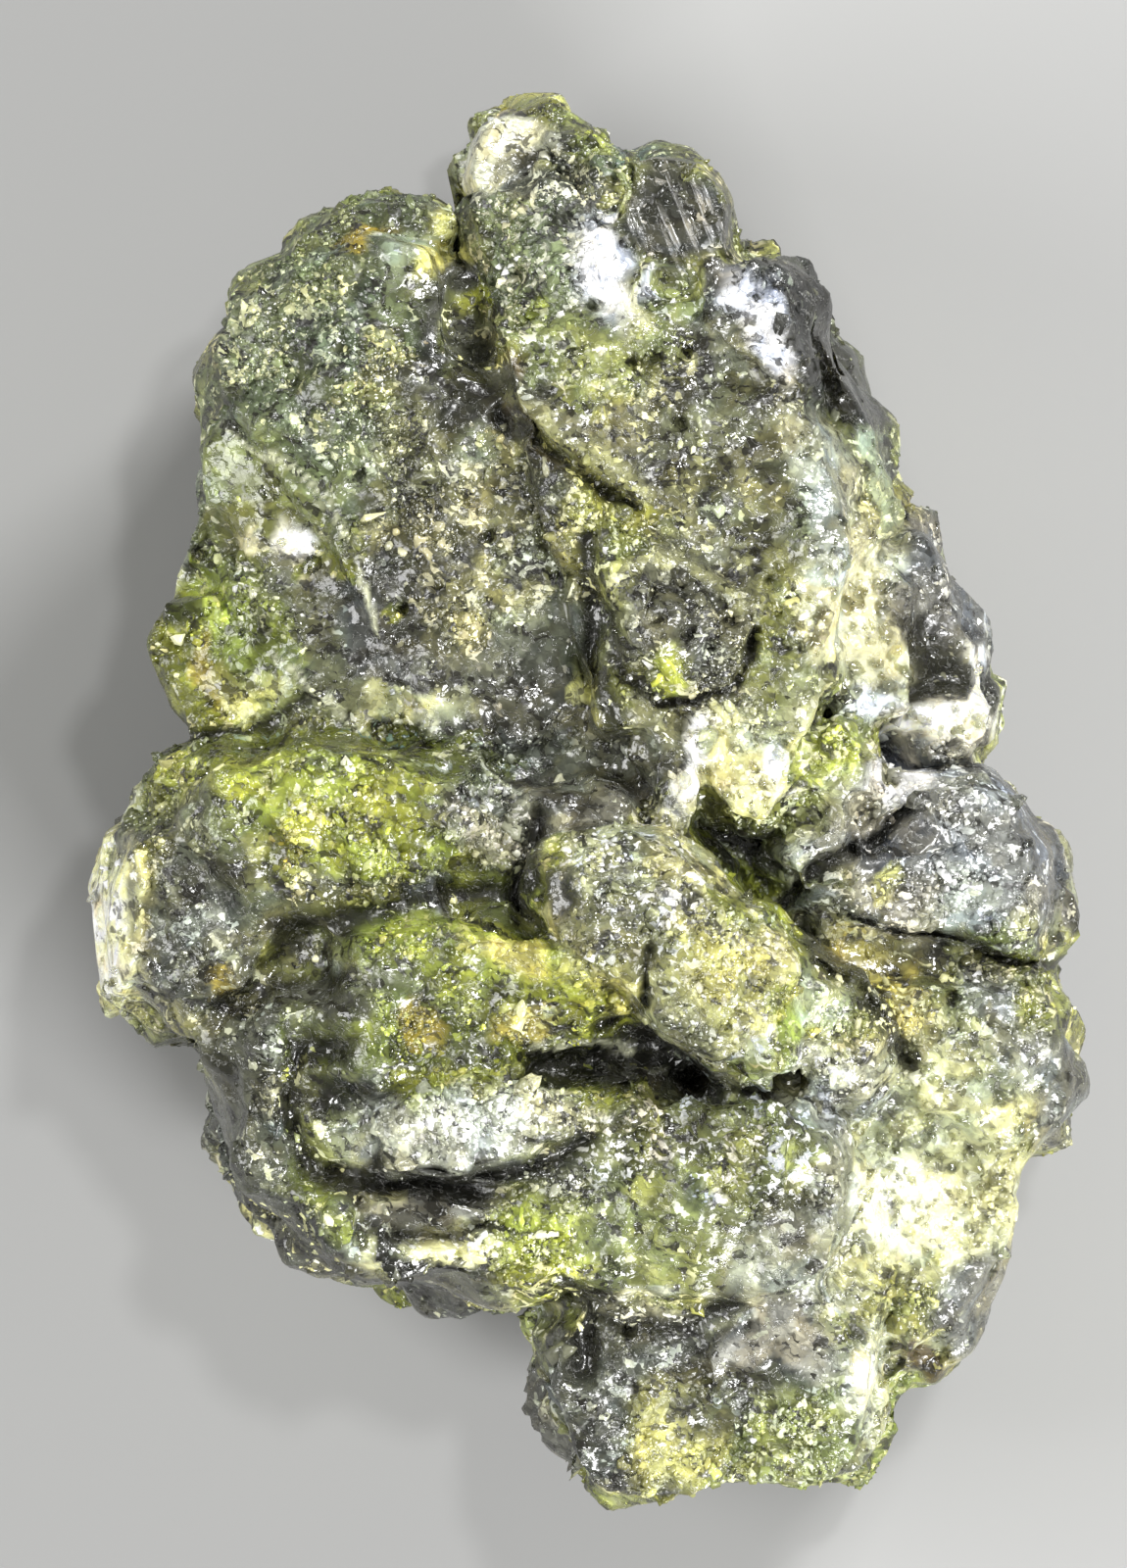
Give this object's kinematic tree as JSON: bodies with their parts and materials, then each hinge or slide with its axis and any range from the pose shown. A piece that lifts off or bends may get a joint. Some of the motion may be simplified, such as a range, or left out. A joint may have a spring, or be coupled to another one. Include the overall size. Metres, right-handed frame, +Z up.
{
  "type": "epidote crystal cluster",
  "caption": "Natural lump of intergrown epidote: dark glassy crystals, green and yellow granular masses and pale clear patches, lying on its flat broken back.",
  "frame": {"origin": "middle of the cluster's length and width, on the surface that its broken back rests on", "axes": "+X across the cluster, +Y along its length towards its pale tip, +Z up out of its crystal side"},
  "size_m": [0.0208, 0.0292, 0.0135],
  "materials": {
    "epidote": "glassy to sugary mineral, dark grey-violet with green and yellow grains"
  },
  "bodies": {
    "root": {"crystal_cluster": "epidote"}
  },
  "joints": []
}
